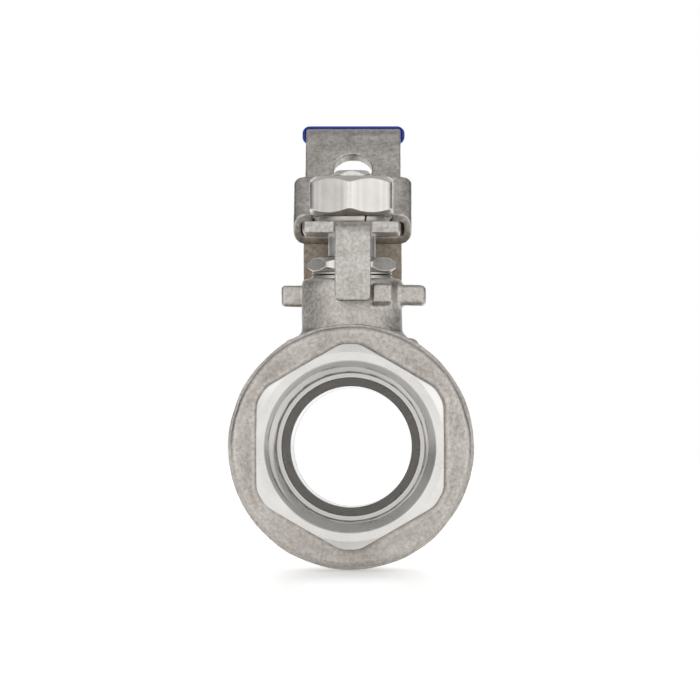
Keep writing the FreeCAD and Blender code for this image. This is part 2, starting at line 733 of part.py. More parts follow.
os.makedirs("parts", exist_ok=True)
for name, piece in all_pieces().items():
    solids = piece.Solids
    assert len(solids) == 1 and solids[0].isValid(), name
    solids[0].exportStep("parts/" + name + ".step")
    box = solids[0].BoundBox
    print("%-20s volume %9.1f  x %6.1f %6.1f  y %6.1f %6.1f  z %6.1f %6.1f" % (
        name, solids[0].Volume, box.XMin, box.XMax, box.YMin, box.YMax, box.ZMin, box.ZMax))
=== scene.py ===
import json
import math

import bmesh
import bpy
import numpy as np
from mathutils import Matrix, Vector, noise

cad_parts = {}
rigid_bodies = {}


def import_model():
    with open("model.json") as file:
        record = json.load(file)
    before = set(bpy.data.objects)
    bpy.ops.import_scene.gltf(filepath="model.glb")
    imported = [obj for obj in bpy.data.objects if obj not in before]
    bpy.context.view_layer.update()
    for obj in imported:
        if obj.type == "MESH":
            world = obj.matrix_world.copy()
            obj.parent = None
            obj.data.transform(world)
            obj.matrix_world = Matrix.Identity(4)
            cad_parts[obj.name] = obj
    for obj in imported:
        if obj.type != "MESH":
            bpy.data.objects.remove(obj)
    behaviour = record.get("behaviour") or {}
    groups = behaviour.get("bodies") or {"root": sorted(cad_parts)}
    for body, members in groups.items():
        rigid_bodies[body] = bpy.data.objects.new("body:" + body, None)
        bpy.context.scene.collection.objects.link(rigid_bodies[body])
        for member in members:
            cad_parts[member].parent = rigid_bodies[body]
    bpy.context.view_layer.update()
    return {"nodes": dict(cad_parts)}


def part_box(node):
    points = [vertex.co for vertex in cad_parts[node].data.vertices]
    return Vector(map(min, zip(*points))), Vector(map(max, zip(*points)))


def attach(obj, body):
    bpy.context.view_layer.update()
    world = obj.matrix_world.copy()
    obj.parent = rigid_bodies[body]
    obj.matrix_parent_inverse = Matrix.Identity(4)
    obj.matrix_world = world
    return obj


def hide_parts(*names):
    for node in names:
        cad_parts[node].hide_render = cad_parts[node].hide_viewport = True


for leftover in list(bpy.data.objects):
    bpy.data.objects.remove(leftover)
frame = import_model()

# ---- sizes, in millimetres, in the part's frame -------------------------------------------
MM = 0.001
TURN = 2 * math.pi
STEPS = 720                 # points round a large turned piece
FINE_STEPS = 288            # points round a small one

HALF_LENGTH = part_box("valve_body")[1][1] / MM
HEX_AF = 38.0
HEX_CORNER_R = 20.8
HEX_LENGTH = 14.0
HEX_CHAMFER = 0.6
HEX_ROOT_FILLET = 1.3
HEX_INSET = 0.05            # how far the flats lie inside the CAD's
HEX_DRAFT = 0.012           # half-width gained with each millimetre from the end
HEX_FACE_EXTRA = 0.25       # how far the turned end face runs past the middle of the flats
HEX_EDGE_BLEND = 0.12
MACHINED_HEX_RINGS = 21     # rings of the chamfer and the end face
MOUTH_R = 17.5
THREAD_CREST_R = 15.15
THREAD_ROOT_R = 16.62
THREAD_PITCH = 2.309
THREAD_DEPTH = 17.0
THREAD_RUNOUT = (0.6, 1.6)  # how far before its depth the thread has faded out, and over what length
THREAD_RING_STEP = 0.115
RECESS_R = 14.2
RECESS_END = 18.5
PORT_R = 12.5
PORT_START = 20.0
SEAT_BACK = 17.0
SEAT_POCKET_R = 17.05
SPIGOT_R = 21.9
SPIGOT_END = -10.5
CAP_COLLAR_R = 24.7
CAP_COLLAR_BACK = -19.05
BODY_COLLAR_R = 25.36
BODY_COLLAR_BACK = -12.0
BODY_FRONT = -19.0
BARREL_R = 24.55
BARREL_END = 12.0
TAPER_END = 21.0
TAPER_R = 19.6
JOINT_R = 22.0
CAVITY_R = 20.0
CAVITY_END = 10.5
NECK_R = 10.45
NECK_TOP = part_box("valve_body")[1][2] / MM
PACKING_R = 8.8
PACKING_FLOOR = 28.0
STEM_BORE_R = 6.25
COLLAR_BORE_R = 8.6
COLLAR_BORE_TOP = 24.2
SADDLE = ((-14.25, 14.25), (-12.5, 12.5), (12.0, 22.6))
LUG_Z = (29.5, 33.8)
LUG_ROOT = 8.0
LOCK_LUG_HALF = 4.35
OPEN_STOP_LUG = (4.35, 8.65)
CLOSED_STOP_LUG = (3.75, 8.05)
LUG_REACH = 15.0
CLOSED_LUG_REACH = 15.5
STOP_LUG_REACH = 14.6

STEM_R = 6.2
STEM_COLLAR_R = 8.3
STEM_COLLAR_Z = (20.6, 22.98)
GROOVE_R = 5.0
GROOVE_Z = (25.4, 27.0)
JOURNAL_TOP = 35.0
TANG = ((-7.2, 7.2), (-3.45, 3.45), (15.1, 21.2))
STEM_RING_STEP = 0.06
STEM_THREAD_R = 4.95
STEM_ROOT_R = 4.1
STEM_PITCH = 1.5
STEM_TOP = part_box("stem")[1][2] / MM
STEM_FLATS = 7.0
SMOOTH_STEM = (39.9, 46.8)  # heights between which the stem has no thread
STEM_END_R = 3.25
NUT_BORE_R = 5.02
NUT_SINK = 0.55             # countersinks of a nut's thread
NUT_CHAMFER_R = 7.95        # where the chamfers start
NUT_CHAMFER_ANGLE = 37
NUT_CORNER_WEAR = 0.3
NUT_CRISPNESS = 70
WASHER_BORE_R = 5.2
WASHER_R = 7.15
WASHER_SPLIT = 0.4
WASHER_SPLIT_ANGLE = -66
LEVER_BOTTOM = 44.3
LEVER_TOP = 46.8
LEVER_WIDTH = 20.3
LEVER_THICKNESS = LEVER_TOP - LEVER_BOTTOM
LEVER_REACH = 143.0
GRIP_TOP = 68.2
GRIP_START = 11.5 + (GRIP_TOP - LEVER_TOP) / math.tan(math.radians(52.0))
GRIP_RISE = math.radians(3.3)
SLEEVE_START = 31.0
SLEEVE_WALL = 0.75
SLEEVE_HALF_WIDTH = 11.0
SLEEVE_CORNER = 1.6
SLEEVE_TIP_R = 7.8
SLEEVE_SAG = 0.15           # how low the sleeve hangs on the grip
SLEEVE_GAP = 0.03           # between sleeve and grip
SLEEVE_LIP = 0.4            # length of the rounded front edge
GRIP_TIP_R = 7.1

FLOOR_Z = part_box("valve_body")[0][2]


# ---- mesh helpers -------------------------------------------------------------------------
def mesh_object(name, points, faces, finishes, face_finish=None):
    """A smooth-shaded mesh object from points in millimetres, its normals facing out."""
    mesh = bpy.data.meshes.new(name)
    mesh.from_pydata((np.asarray(points, float) * MM).tolist(), [], faces)
    for finish in finishes:
        mesh.materials.append(finish)
    if face_finish is not None:
        mesh.polygons.foreach_set("material_index", np.asarray(face_finish, np.int32))
    shape = bmesh.new()
    shape.from_mesh(mesh)
    bmesh.ops.recalc_face_normals(shape, faces=shape.faces)
    shape.to_mesh(mesh)
    shape.free()
    mesh.polygons.foreach_set("use_smooth", np.ones(len(mesh.polygons), bool))
    piece = bpy.data.objects.new(name, mesh)
    bpy.context.scene.collection.objects.link(piece)
    return piece


def lattice(name, rings, finishes, ring_finish=None, closed=True):
    """A piece through rings of points. It closes on itself, or is capped at its two ends."""
    rings = np.asarray(rings, float)
    count, steps = rings.shape[:2]
    spans = count if closed else count - 1
    ring = np.arange(spans)[:, None]
    step = np.arange(steps)[None, :]
    after = (ring + 1) % count
    corners = [
        ring * steps + step,
        ring * steps + (step + 1) % steps,
        after * steps + (step + 1) % steps,
        after * steps + step,
    ]
    faces = np.stack(np.broadcast_arrays(*corners), axis=-1).reshape(-1, 4).tolist()
    finish = None
    if ring_finish is not None:
        finish = np.repeat(np.asarray(ring_finish)[:spans], steps)
    points = rings.reshape(-1, 3)
    if not closed:
        for end, start in ((rings[0], 0), (rings[-1], (count - 1) * steps)):
            hub = len(points)
            points = np.vstack([points, end.mean(axis=0)])
            faces += [[start + k, start + (k + 1) % steps, hub] for k in range(steps)]
        if finish is not None:
            finish = np.concatenate([finish, np.full(steps, finish[0]), np.full(steps, finish[-1])])
    return mesh_object(name, points, faces, finishes, finish)


def angles(steps):
    return np.arange(steps) * TURN / steps


def ring_on_y(radius, y, steps=STEPS):
    """A ring about the pipe axis; radius is a number or one value for each step."""
    turn = angles(steps)
    radius = np.broadcast_to(radius, steps)
    return np.stack([radius * np.cos(turn), np.full(steps, y), radius * np.sin(turn)], axis=-1)


def ring_on_z(radius, z, steps=FINE_STEPS):
    """A ring about the stem axis."""
    turn = angles(steps)
    radius = np.broadcast_to(radius, steps)
    return np.stack([radius * np.cos(turn), radius * np.sin(turn), np.full(steps, z)], axis=-1)


def hexagon(turn, apothem, cut_r, crispness=110):
    """Distance from the centre to a hexagon with softly rounded corners, cut off at cut_r."""
    total = cut_r ** -float(crispness) * np.ones_like(turn)
    for side in range(6):
        facing = np.cos(turn - side * TURN / 6)
        total += (np.clip(facing, 0.05, None) / apothem) ** crispness
    return total ** (-1 / crispness)


def soft_low(a, b, blend):
    """The lower of two surfaces, with a rounded edge where they meet."""
    gap = np.clip(0.5 + 0.5 * (b - a) / blend, 0, 1)
    return b * (1 - gap) + a * gap - blend * gap * (1 - gap)


def rounded(points, radii, segments=6):
    """A polyline with an arc at each inner corner; radii holds one radius for each inner corner."""
    corners = [np.asarray(point, float) for point in points]
    path = [corners[0]]
    for index, radius in enumerate(radii, start=1):
        if radius == 0:
            path.append(corners[index])
            continue
        before = corners[index - 1] - corners[index]
        after = corners[index + 1] - corners[index]
        before /= np.linalg.norm(before)
        after /= np.linalg.norm(after)
        half = math.acos(np.clip(before @ after, -1, 1)) / 2
        reach = radius / math.tan(half)
        middle = corners[index] + (before + after) / np.linalg.norm(before + after) * radius / math.sin(half)
        start = corners[index] + before * reach - middle
        finish = corners[index] + after * reach - middle
        sweep = math.pi - 2 * half
        for part in np.linspace(0, 1, segments + 1):
            arm = start * math.sin((1 - part) * sweep) + finish * math.sin(part * sweep)
            path.append(middle + arm / math.sin(sweep))
    path.append(corners[-1])
    return path


def ripple(piece, mask, coarse, fine, seed):
    """Moves points along their normals by two sizes of noise, as a casting's skin varies."""
    mesh = piece.data
    count = len(mesh.vertices)
    points = np.empty(count * 3, np.float32)
    normals = np.empty(count * 3, np.float32)
    mesh.vertices.foreach_get("co", points)
    mesh.vertices.foreach_get("normal", normals)
    points = points.reshape(-1, 3)
    normals = normals.reshape(-1, 3)
    offset = Vector((seed, seed * 0.7, seed * 1.3))
    shifts = np.zeros(count)
    for index, point in enumerate((points / MM).tolist()):
        place = Vector(point)
        if mask(place):
            waves = coarse * noise.noise(place * 0.22 + offset) + fine * noise.noise(place * 0.9 + offset)
            shifts[index] = waves - coarse * 0.5
    mesh.vertices.foreach_set("co", (points + normals * shifts[:, None] * MM).astype(np.float32).ravel())
    mesh.update()


def crisp(piece, angle=35):
    """Keeps shading sharp over edges that turn by more than an angle."""
    piece.data.set_sharp_from_angle(angle=math.radians(angle))


def applied(piece):
    """The piece with its modifiers turned into mesh."""
    graph = bpy.context.evaluated_depsgraph_get()
    mesh = bpy.data.meshes.new_from_object(piece.evaluated_get(graph))
    piece.modifiers.clear()
    old = piece.data
    piece.data = mesh
    bpy.data.meshes.remove(old)
    piece.data.name = piece.name
    return piece


def softened(piece, voxel, passes):
    """Remeshes a piece evenly and wears its edges round."""
    remesh = piece.modifiers.new("even", "REMESH")
    remesh.mode = "VOXEL"
    remesh.voxel_size = voxel * MM
    remesh.use_smooth_shade = True
    worn = piece.modifiers.new("worn", "SMOOTH")
    worn.factor = 0.5
    worn.iterations = passes
    return applied(piece)


def cut_by(piece, cutter, operation="DIFFERENCE"):
    """Applies one boolean and removes the cutter."""
    boolean = piece.modifiers.new("cut", "BOOLEAN")
    boolean.operation = operation
    boolean.solver = "MANIFOLD"
    boolean.object = cutter
    applied(piece)
    bpy.data.objects.remove(cutter)
    return piece


def placed(piece, body, slot, *nodes):
    """Fixes a finished piece to its body, in place of CAD nodes."""
    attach(piece, body)
    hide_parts(*nodes)
    return piece


# ---- materials ----------------------------------------------------------------------------
class Finish:
    """A material under construction: one Principled shader and the nodes that feed it."""

    def __init__(self, name, metallic, **sockets):
        self.material = bpy.data.materials.new(name)
        self.material.use_nodes = True
        self.tree = self.material.node_tree
        self.shader = self.tree.nodes["Principled BSDF"]
        self.shader.inputs["Metallic"].default_value = metallic
        for socket, value in sockets.items():
            self.shader.inputs[socket.replace("_", " ")].default_value = value
        self.place = self.tree.nodes.new("ShaderNodeTexCoord").outputs["Object"]
        self.normal = None

    def link(self, out, into):
        self.tree.links.new(out, into)

    def stretched(self, scale):
        """Object coordinates scaled along each axis."""
        mapping = self.tree.nodes.new("ShaderNodeMapping")
        mapping.inputs["Scale"].default_value = scale
        self.link(self.place, mapping.inputs["Vector"])
        return mapping.outputs["Vector"]

    def noise(self, scale, detail=3.0, roughness=0.55, stretch=None):
        """Noise with features of about 1 / scale metres."""
        node = self.tree.nodes.new("ShaderNodeTexNoise")
        node.inputs["Scale"].default_value = scale
        node.inputs["Detail"].default_value = detail
        node.inputs["Roughness"].default_value = roughness
        self.link(self.stretched(stretch) if stretch else self.place, node.inputs["Vector"])
        return node.outputs["Fac"]

    def height(self, low, high):
        """0 to 1 between two heights in millimetres."""
        split = self.tree.nodes.new("ShaderNodeSeparateXYZ")
        self.link(self.place, split.inputs["Vector"])
        node = self.tree.nodes.new("ShaderNodeMapRange")
        node.inputs["From Min"].default_value = low * MM
        node.inputs["From Max"].default_value = high * MM
        self.link(split.outputs["Z"], node.inputs["Value"])
        return node.outputs["Result"]

    def pits(self, scale):
        """Round dots with features of about 1 / scale metres."""
        node = self.tree.nodes.new("ShaderNodeTexVoronoi")
        node.inputs["Scale"].default_value = scale
        self.link(self.place, node.inputs["Vector"])
        return node.outputs["Distance"]

    def rings(self, direction, pitch):
        """Turning marks about an axis, pitch millimetres apart."""
        node = self.tree.nodes.new("ShaderNodeTexWave")
        node.wave_type = "RINGS"
        node.rings_direction = direction
        node.inputs["Scale"].default_value = TURN / (20 * pitch * MM)
        node.inputs["Distortion"].default_value = 0.0
        node.inputs["Detail"].default_value = 0.0
        self.link(self.place, node.inputs["Vector"])
        return node.outputs["Fac"]

    def ramp(self, value, stops):
        """Turns a value into a colour by stops of (position, colour)."""
        node = self.tree.nodes.new("ShaderNodeValToRGB")
        elements = node.color_ramp.elements
        for index, (position, colour) in enumerate(stops):
            element = elements[index] if index < 2 else elements.new(position)
            element.position = position
            element.color = (*colour, 1)
        self.link(value, node.inputs["Fac"])
        return node.outputs["Color"]

    def mixed(self, first, second, amount, blend="MIX"):
        """Two colours, mixed by a fixed amount or by a value."""
        node = self.tree.nodes.new("ShaderNodeMix")
        node.data_type = "RGBA"
        node.blend_type = blend
        if isinstance(amount, float):
            node.inputs[0].default_value = amount
        else:
            self.link(amount, node.inputs[0])
        self.link(first, node.inputs[6])
        self.link(second, node.inputs[7])
        return node.outputs[2]

    def colour(self, colour):
        self.link(colour, self.shader.inputs["Base Color"])

    def rough(self, value, low, high):
        """Roughness that runs from low to high over the middle of a value."""
        node = self.tree.nodes.new("ShaderNodeMapRange")
        node.inputs["From Min"].default_value = 0.3
        node.inputs["From Max"].default_value = 0.7
        node.inputs["To Min"].default_value = low
        node.inputs["To Max"].default_value = high
        self.link(value, node.inputs["Value"])
        self.link(node.outputs["Result"], self.shader.inputs["Roughness"])

    def bump(self, height, depth, strength=1.0):
        """Adds a bump of a depth in millimetres to those before it."""
        node = self.tree.nodes.new("ShaderNodeBump")
        node.inputs["Strength"].default_value = strength
        node.inputs["Distance"].default_value = depth * MM
        self.link(height, node.inputs["Height"])
        if self.normal is not None:
            self.link(self.normal, node.inputs["Normal"])
        self.normal = node.outputs["Normal"]
        self.link(self.normal, self.shader.inputs["Normal"])


def cast_steel():
    """Blasted investment casting: warm grey, with an even fine grain and faint stains."""
    finish = Finish("cast_steel", 1.0)
    grain = finish.noise(1500, 4.0, 0.7)
    stain = finish.noise(110, 3.0)
    warm = finish.ramp(stain, [(0.3, (0.52, 0.485, 0.45)), (0.7, (0.68, 0.65, 0.61))])
    speck = finish.ramp(grain, [(0.32, (0.55, 0.53, 0.51)), (0.62, (1.0, 1.0, 1.0))])
    finish.colour(finish.mixed(warm, speck, 0.75, "MULTIPLY"))
    finish.rough(stain, 0.32, 0.42)
    finish.bump(grain, 0.13, 0.9)
    finish.bump(finish.pits(900), 0.05, 0.5)
    return finish.material


def turned_steel(name, direction, pitch, tone):
    """Machined faces with fine turning marks about an axis."""
    finish = Finish(name, 1.0)
    cloud = finish.noise(160, 3.0)
    marks = finish.rings(direction, pitch)
    dark = tuple(part * 0.86 for part in tone)
    shade = finish.ramp(cloud, [(0.3, dark), (0.7, tone)])
    line = finish.ramp(marks, [(0.0, (0.84, 0.83, 0.82)), (1.0, (1.0, 1.0, 1.0))])
    finish.colour(finish.mixed(shade, line, 0.6, "MULTIPLY"))
    finish.rough(cloud, 0.24, 0.34)
    finish.bump(marks, 0.004, 0.4)
    finish.bump(finish.noise(2500, 2.0), 0.004, 0.5)
    return finish.material


def sheet_steel(name, painted_shade_below=None):
    """Tumbled sheet: mottled grey-brown and speckled, with painted shade (darker and browner) below a height
    in millimetres if one is given.
    """
    finish = Finish(name, 1.0)
    stain = finish.noise(190, 5.0, 0.62)
    grain = finish.noise(1250, 4.0, 0.7)
    scratch = finish.noise(900, 2.0, 0.5, (1.0, 0.12, 1.0))
    tone = finish.ramp(stain, [
        (0.32, (0.46, 0.435, 0.41)),
        (0.5, (0.60, 0.575, 0.545)),
        (0.7, (0.70, 0.68, 0.65)),
    ])
    line = finish.ramp(scratch, [(0.35, (0.82, 0.81, 0.80)), (0.6, (1.0, 1.0, 1.0))])
    speck = finish.ramp(grain, [(0.34, (0.58, 0.56, 0.54)), (0.6, (1.0, 1.0, 1.0))])
    colour = finish.mixed(finish.mixed(tone, line, 0.7, "MULTIPLY"), speck, 0.8, "MULTIPLY")
    # painted shade: below the given height the colour is darkened and browned, standing in for the lever's
    # shadow and dim reflections
    if painted_shade_below is not None:
        height = finish.height(painted_shade_below - 1.0, painted_shade_below + 1.0)
        shade = finish.ramp(height, [(0.0, (0.56, 0.50, 0.44)), (1.0, (1.0, 1.0, 1.0))])
        colour = finish.mixed(colour, shade, 1.0, "MULTIPLY")
    finish.colour(colour)
    finish.rough(stain, 0.30, 0.44)
    finish.bump(scratch, 0.012, 0.5)
    finish.bump(grain, 0.05, 0.8)
    return finish.material


def plain(name, metallic, low, high, rough, grain, depth):
    """A simpler surface: two close tones, varied roughness and a fine bump."""
    finish = Finish(name, metallic)
    cloud = finish.noise(240, 4.0)
    finish.colour(finish.ramp(cloud, [(0.3, low), (0.7, high)]))
    finish.rough(cloud, *rough)
    finish.bump(finish.noise(grain, 3.0), depth, 0.6)
    return finish.material


CAST = cast_steel()
FACED = turned_steel("faced_steel", "Y", 0.35, (0.80, 0.785, 0.76))
# a darker copy of the faced steel for the end cap's bore: painted shade inside the bore
SHADED_BORE_STEEL = turned_steel("shaded_bore_steel", "Y", 0.35, (0.68, 0.665, 0.645))
NUT_STEEL = turned_steel("nut_steel", "Z", 0.4, (0.86, 0.835, 0.80))
SHEET = sheet_steel("sheet_steel")
# the slide's copy of the sheet steel has painted shade, darker and browner below 44.5 mm, just under the
# lever
SHADED_SLIDE_SHEET = sheet_steel("slide_sheet", 44.5)
VINYL = plain("blue_vinyl", 0.0, (0.0, 0.027, 0.29), (0.0, 0.038, 0.37), (0.26, 0.36), 1300, 0.02)
PTFE = plain("ptfe", 0.0, (0.74, 0.74, 0.72), (0.82, 0.82, 0.80), (0.38, 0.48), 1800, 0.01)
RUBBER = plain("seal_rubber", 0.0, (0.012, 0.012, 0.012), (0.02, 0.02, 0.02), (0.45, 0.6), 1800, 0.01)
BALL = plain("polished_steel", 1.0, (0.62, 0.61, 0.60), (0.70, 0.69, 0.68), (0.10, 0.16), 2600, 0.002)
SPRING = plain("spring_steel", 1.0, (0.46, 0.44, 0.41), (0.60, 0.575, 0.54), (0.26, 0.38), 1900, 0.01)


# ---- pipe ends ----------------------------------------------------------------------------
def female_thread(turn, depth, side):
    """Radius of the pipe thread at a depth behind the end face, with its countersink."""
    phase = (depth / THREAD_PITCH - side * turn / TURN) % 1.0
    wave = np.abs(2 * phase - 1)
    wave = 0.6 * wave + 0.4 * wave * wave * (3 - 2 * wave)
    runout = np.clip((THREAD_DEPTH - THREAD_RUNOUT[0] - depth) / THREAD_RUNOUT[1], 0, 1)
    thread = THREAD_CREST_R + (THREAD_ROOT_R - THREAD_CREST_R) * wave * runout
    mouth = MOUTH_R - depth
    return -soft_low(-thread, np.full_like(turn, -mouth), 0.08)


def bore_rings(side, steps):
    """Rings from the mouth at the end face to the seat's back, with their y places."""
    turn = angles(steps)
    rings = []

    def add(radius, depth):
        rings.append(ring_on_y(radius, side * (HALF_LENGTH - depth), steps))

    add(MOUTH_R + 0.05, 0.0)
    for depth in np.arange(0.04, THREAD_DEPTH, THREAD_RING_STEP):
        add(female_thread(turn, depth, side), depth)
    inner = rounded(
        [
            (THREAD_CREST_R, THREAD_DEPTH - 0.15),
            (THREAD_CREST_R, THREAD_DEPTH),
            (RECESS_R, THREAD_DEPTH),
            (RECESS_R, RECESS_END),
            (PORT_R, PORT_START),
            (PORT_R, HALF_LENGTH - SEAT_BACK),
        ],
        [0.08, 0.12, 0.3, 0.4],
        4,
    )
    for radius, depth in inner:
        add(radius, depth)
    return rings


def hex_rings(steps):
    """Rings along the inlet hexagon, from its root fillet to the mouth's edge."""
    turn = angles(steps)
    flat = hexagon(turn, HEX_AF / 2 - HEX_INSET, HEX_CORNER_R)
    rings = []

    def add(radius, depth):
        rings.append(ring_on_y(radius, depth - HALF_LENGTH, steps))

    def draft(depth):
        return flat + HEX_DRAFT * depth

    for sweep in np.linspace(math.pi / 2, 0, 8):
        depth = HEX_LENGTH - HEX_ROOT_FILLET * (1 - math.sin(sweep))
        add(draft(depth) + HEX_ROOT_FILLET * (1 - math.cos(sweep)), depth)
    for depth in np.linspace(HEX_LENGTH - HEX_ROOT_FILLET - 0.5, HEX_CHAMFER + 0.3, 22):
        add(draft(depth), depth)
    edge = HEX_AF / 2 + HEX_FACE_EXTRA
    for depth in np.linspace(HEX_CHAMFER + 0.2, 0.0, 14):
        cone = edge + (HEX_CORNER_R + 0.15 - edge) * depth / HEX_CHAMFER
        add(soft_low(draft(depth), np.full_like(turn, cone), HEX_EDGE_BLEND), depth + 0.02)
    outer = soft_low(flat, np.full_like(turn, edge), HEX_EDGE_BLEND) - 0.05
    for part in (0.0, 0.06, 0.3, 0.55, 0.8, 0.94):
        add(outer + (MOUTH_R + 0.1 - outer) * part, 0.0)
    return rings


def build_end_cap():
    """Hexagon, collar and threaded bore of the end cap, as one closed lattice."""
    turn = angles(STEPS)
    collar_front = HEX_LENGTH - HALF_LENGTH
    root = hexagon(turn, HEX_AF / 2 - HEX_INSET, HEX_CORNER_R) + HEX_DRAFT * HEX_LENGTH + HEX_ROOT_FILLET
    face_edge = CAP_COLLAR_R - 1.9
    back = [
        (SEAT_POCKET_R, -SEAT_BACK),
        (SEAT_POCKET_R, SPIGOT_END),
        (SPIGOT_R, SPIGOT_END),
        (SPIGOT_R, CAP_COLLAR_BACK),
        (CAP_COLLAR_R, CAP_COLLAR_BACK),
        (CAP_COLLAR_R, collar_front),
        (face_edge, collar_front),
    ]
    outline = rounded(back, [0.3, 0.4, 0.2, 0.7, 1.15], 7)
    rings = [ring_on_y(radius, y) for radius, y in outline]
    finish = [1] * len(rings)
    cast_from = next(index for index, (radius, y) in enumerate(outline) if radius > SPIGOT_R + 1)
    finish[cast_from:] = [0] * (len(rings) - cast_from)
    for part in (0.15, 0.4, 0.7):
        face_r = face_edge * (1 - part) + root * part
        rings.append(ring_on_y(face_r, collar_front))
        finish.append(0)
    hexagonal = hex_rings(STEPS)
    finish += [0] * (len(hexagonal) - MACHINED_HEX_RINGS) + [1] * MACHINED_HEX_RINGS
    bore = bore_rings(-1, STEPS)
    # the bore's rings take the darker copy of the turned steel, which is painted shade
    finish += [1] * 3 + [2] * (len(bore) - 3)
    piece = lattice("end_cap_casting", rings + hexagonal + bore, [CAST, FACED, SHADED_BORE_STEEL], finish)

    def is_cast(place):
        radius = math.hypot(place.x, place.z)
        return radius > HEX_AF / 2 - 1 and -HALF_LENGTH + 0.9 < place.y < CAP_COLLAR_BACK - 0.6

    ripple(piece, is_cast, coarse=0.16, fine=0.05, seed=3.0)
    crisp(piece)
    return placed(piece, "valve_casing", "cast_steel", "end_cap")


# ---- valve body ---------------------------------------------------------------------------
def lathe(name, outline, about_z=False, steps=240):
    """A turned solid from (radius, distance) points; its ends are capped on the axis."""
    ring = ring_on_z if about_z else ring_on_y
    rings = [ring(max(radius, 0.02), place, steps) for radius, place in outline]
    return lattice(name, rings, [], closed=False)


def rounded_block(name, x, y, z, radius):
    """A box with rounded edges."""
    shape = bmesh.new()
    bmesh.ops.create_cube(shape, size=1.0)
    size = [pair[1] - pair[0] for pair in (x, y, z)]
    centre = [(pair[1] + pair[0]) / 2 for pair in (x, y, z)]
    for vertex in shape.verts:
        vertex.co = Vector([vertex.co[axis] * size[axis] + centre[axis] for axis in range(3)])
    bmesh.ops.bevel(shape, geom=shape.edges[:], offset=radius, segments=5, profile=0.5, affect="EDGES")
    mesh = bpy.data.meshes.new(name)
    shape.to_mesh(mesh)
    shape.free()
    mesh.transform(Matrix.Scale(MM, 4))
    piece = bpy.data.objects.new(name, mesh)
    bpy.context.scene.collection.objects.link(piece)
    return piece


def joined(name, pieces):
    """Several overlapping solids in one object."""
    shape = bmesh.new()
    for piece in pieces:
        shape.from_mesh(piece.data)
        bpy.data.objects.remove(piece)
    mesh = bpy.data.meshes.new(name)
    shape.to_mesh(mesh)
    shape.free()
    whole = bpy.data.objects.new(name, mesh)
    bpy.context.scene.collection.objects.link(whole)
    return whole


def body_casting():
    """The body before machining: barrel, outlet hexagon, saddle, neck and lugs, grown together."""
    barrel = lathe("barrel", rounded(
        [
            (0, BODY_FRONT - 0.4),
            (BODY_COLLAR_R, BODY_FRONT - 0.4),
            (BODY_COLLAR_R, BODY_COLLAR_BACK),
            (BARREL_R, BODY_COLLAR_BACK + 0.8),
            (BARREL_R, BARREL_END),
            (TAPER_R, TAPER_END),
            (TAPER_R - 0.6, HALF_LENGTH - HEX_LENGTH + 1),
            (0, HALF_LENGTH - HEX_LENGTH + 1),
        ],
        [0.5, 0.9, 0.8, 9.0, 8.0, 0],
    ))
    turn = angles(240)
    hex_side = hexagon(turn, HEX_AF / 2, HEX_CORNER_R)
    start = HALF_LENGTH - HEX_LENGTH
    rings = [ring_on_y(hex_side * 0.9, start - 2.2, 240), ring_on_y(hex_side * 0.97, start - 0.7, 240)]
    for y in np.linspace(start, HALF_LENGTH + 0.5, 12):
        rings.append(ring_on_y(hex_side + HEX_DRAFT * (HALF_LENGTH - y), y, 240))
    outlet = lattice("outlet", rings, [], closed=False)
    neck = lathe("neck", rounded(
        [
            (0, SADDLE[2][0]),
            (NECK_R + 0.1, SADDLE[2][0]),
            (NECK_R + 0.1, NECK_TOP),
            (0, NECK_TOP),
        ],
        [0, 1.1],
    ), about_z=True)
    skirt = lathe("skirt", rounded(
        [
            (0, SADDLE[2][0]),
            (NECK_R + 3.0, SADDLE[2][0]),
            (NECK_R + 1.6, SADDLE[2][1] - 0.2),
            (NECK_R - 0.3, SADDLE[2][1] + 1.9),
            (0, SADDLE[2][1] + 1.9),
        ],
        [0, 0.3, 0.3],
    ), about_z=True)
    saddle = rounded_block("saddle", *SADDLE, 2.2)
    lock_span = (-LOCK_LUG_HALF, LOCK_LUG_HALF)
    lugs = [
        rounded_block("lug", lock_span, (LUG_ROOT, LUG_REACH), LUG_Z, 0.7),
        rounded_block("lug", (LUG_ROOT, CLOSED_LUG_REACH), lock_span, LUG_Z, 0.9),
        rounded_block("lug", OPEN_STOP_LUG, (-STOP_LUG_REACH, -LUG_ROOT + 2), LUG_Z, 0.7),
        rounded_block("lug", (-STOP_LUG_REACH - 0.3, -LUG_ROOT + 2), CLOSED_STOP_LUG, (29.4, 33.95), 0.7),
    ]
    return joined("valve_body_casting", [barrel, outlet, neck, skirt, saddle] + lugs)


